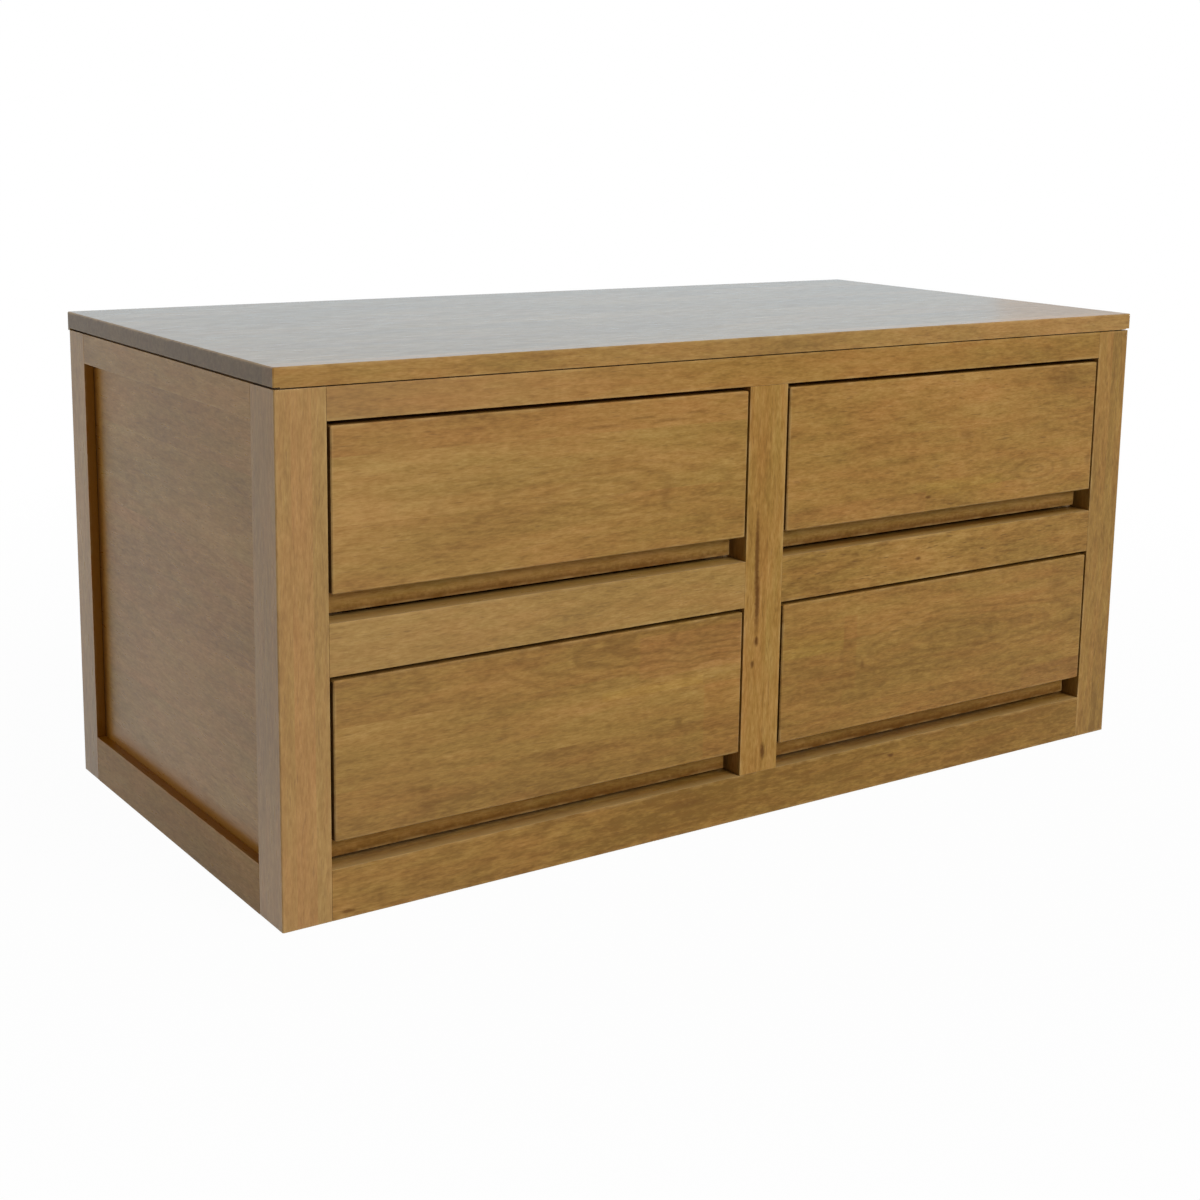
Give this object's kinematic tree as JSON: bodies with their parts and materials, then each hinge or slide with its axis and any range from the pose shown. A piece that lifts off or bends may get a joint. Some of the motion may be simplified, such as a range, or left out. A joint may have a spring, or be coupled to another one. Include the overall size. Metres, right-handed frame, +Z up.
{
  "type": "chest of drawers",
  "caption": "Low, wide solid wood chest with framed side panels, inset drawer fronts with finger gaps in place of handles, and dovetailed drawers that slide on wooden runners.",
  "frame": {"origin": "on the floor, in the middle of the footprint", "axes": "+X to the right along the width, +Y to the back, +Z up; the drawers open towards -Y"},
  "size_m": [1, 0.48, 0.47],
  "materials": {
    "show_wood": "honey-brown stain under satin lacquer",
    "drawer_wood": "pale wood, thin satin lacquer",
    "inner_wood": "planed, bare",
    "thin_panel": "thin board, thin lacquer",
    "screw_steel": "zinc plated"
  },
  "bodies": {
    "case": {"back_bottom_rail": "show_wood", "back_stile": "show_wood", "back_top_rail": "show_wood", "centre_kicker": "inner_wood", "centre_lower_runner": "inner_wood", "centre_stile": "show_wood", "centre_upper_runner": "inner_wood", "front_bottom_rail": "show_wood", "front_left_post": "show_wood", "front_right_post": "show_wood", "front_top_rail": "show_wood", "left_back_panel": "thin_panel", "left_kicker": "inner_wood", "left_lower_runner": "inner_wood", "left_mid_rail": "show_wood", "left_side_bottom_rail": "show_wood", "left_side_panel": "show_wood", "left_side_top_rail": "show_wood", "left_upper_runner": "inner_wood", "rear_left_post": "show_wood", "rear_right_post": "show_wood", "right_back_panel": "thin_panel", "right_kicker": "inner_wood", "right_lower_runner": "inner_wood", "right_mid_rail": "show_wood", "right_side_bottom_rail": "show_wood", "right_side_panel": "show_wood", "right_side_top_rail": "show_wood", "right_upper_runner": "inner_wood", "top_panel": "show_wood", "top_screws": "screw_steel"},
    "lower_left_drawer": {"lower_left_box_back": "drawer_wood", "lower_left_box_bottom": "thin_panel", "lower_left_box_front": "show_wood", "lower_left_box_left_side": "drawer_wood", "lower_left_box_right_side": "drawer_wood", "lower_left_drawer_front": "show_wood", "lower_left_front_screws": "screw_steel"},
    "lower_right_drawer": {"lower_right_box_back": "drawer_wood", "lower_right_box_bottom": "thin_panel", "lower_right_box_front": "show_wood", "lower_right_box_left_side": "drawer_wood", "lower_right_box_right_side": "drawer_wood", "lower_right_drawer_front": "show_wood", "lower_right_front_screws": "screw_steel"},
    "upper_left_drawer": {"upper_left_box_back": "drawer_wood", "upper_left_box_bottom": "thin_panel", "upper_left_box_front": "show_wood", "upper_left_box_left_side": "drawer_wood", "upper_left_box_right_side": "drawer_wood", "upper_left_drawer_front": "show_wood", "upper_left_front_screws": "screw_steel"},
    "upper_right_drawer": {"upper_right_box_back": "drawer_wood", "upper_right_box_bottom": "thin_panel", "upper_right_box_front": "show_wood", "upper_right_box_left_side": "drawer_wood", "upper_right_box_right_side": "drawer_wood", "upper_right_drawer_front": "show_wood", "upper_right_front_screws": "screw_steel"}
  },
  "joints": [
    {"name": "lower_left_drawer_slide", "type": "slide", "parent": "case", "child": "lower_left_drawer", "axis": [0, -1, 0], "range_m": [0, 0.3]},
    {"name": "lower_right_drawer_slide", "type": "slide", "parent": "case", "child": "lower_right_drawer", "axis": [0, -1, 0], "range_m": [0, 0.3]},
    {"name": "upper_left_drawer_slide", "type": "slide", "parent": "case", "child": "upper_left_drawer", "axis": [0, -1, 0], "range_m": [0, 0.3]},
    {"name": "upper_right_drawer_slide", "type": "slide", "parent": "case", "child": "upper_right_drawer", "axis": [0, -1, 0], "range_m": [0, 0.3]}
  ]
}
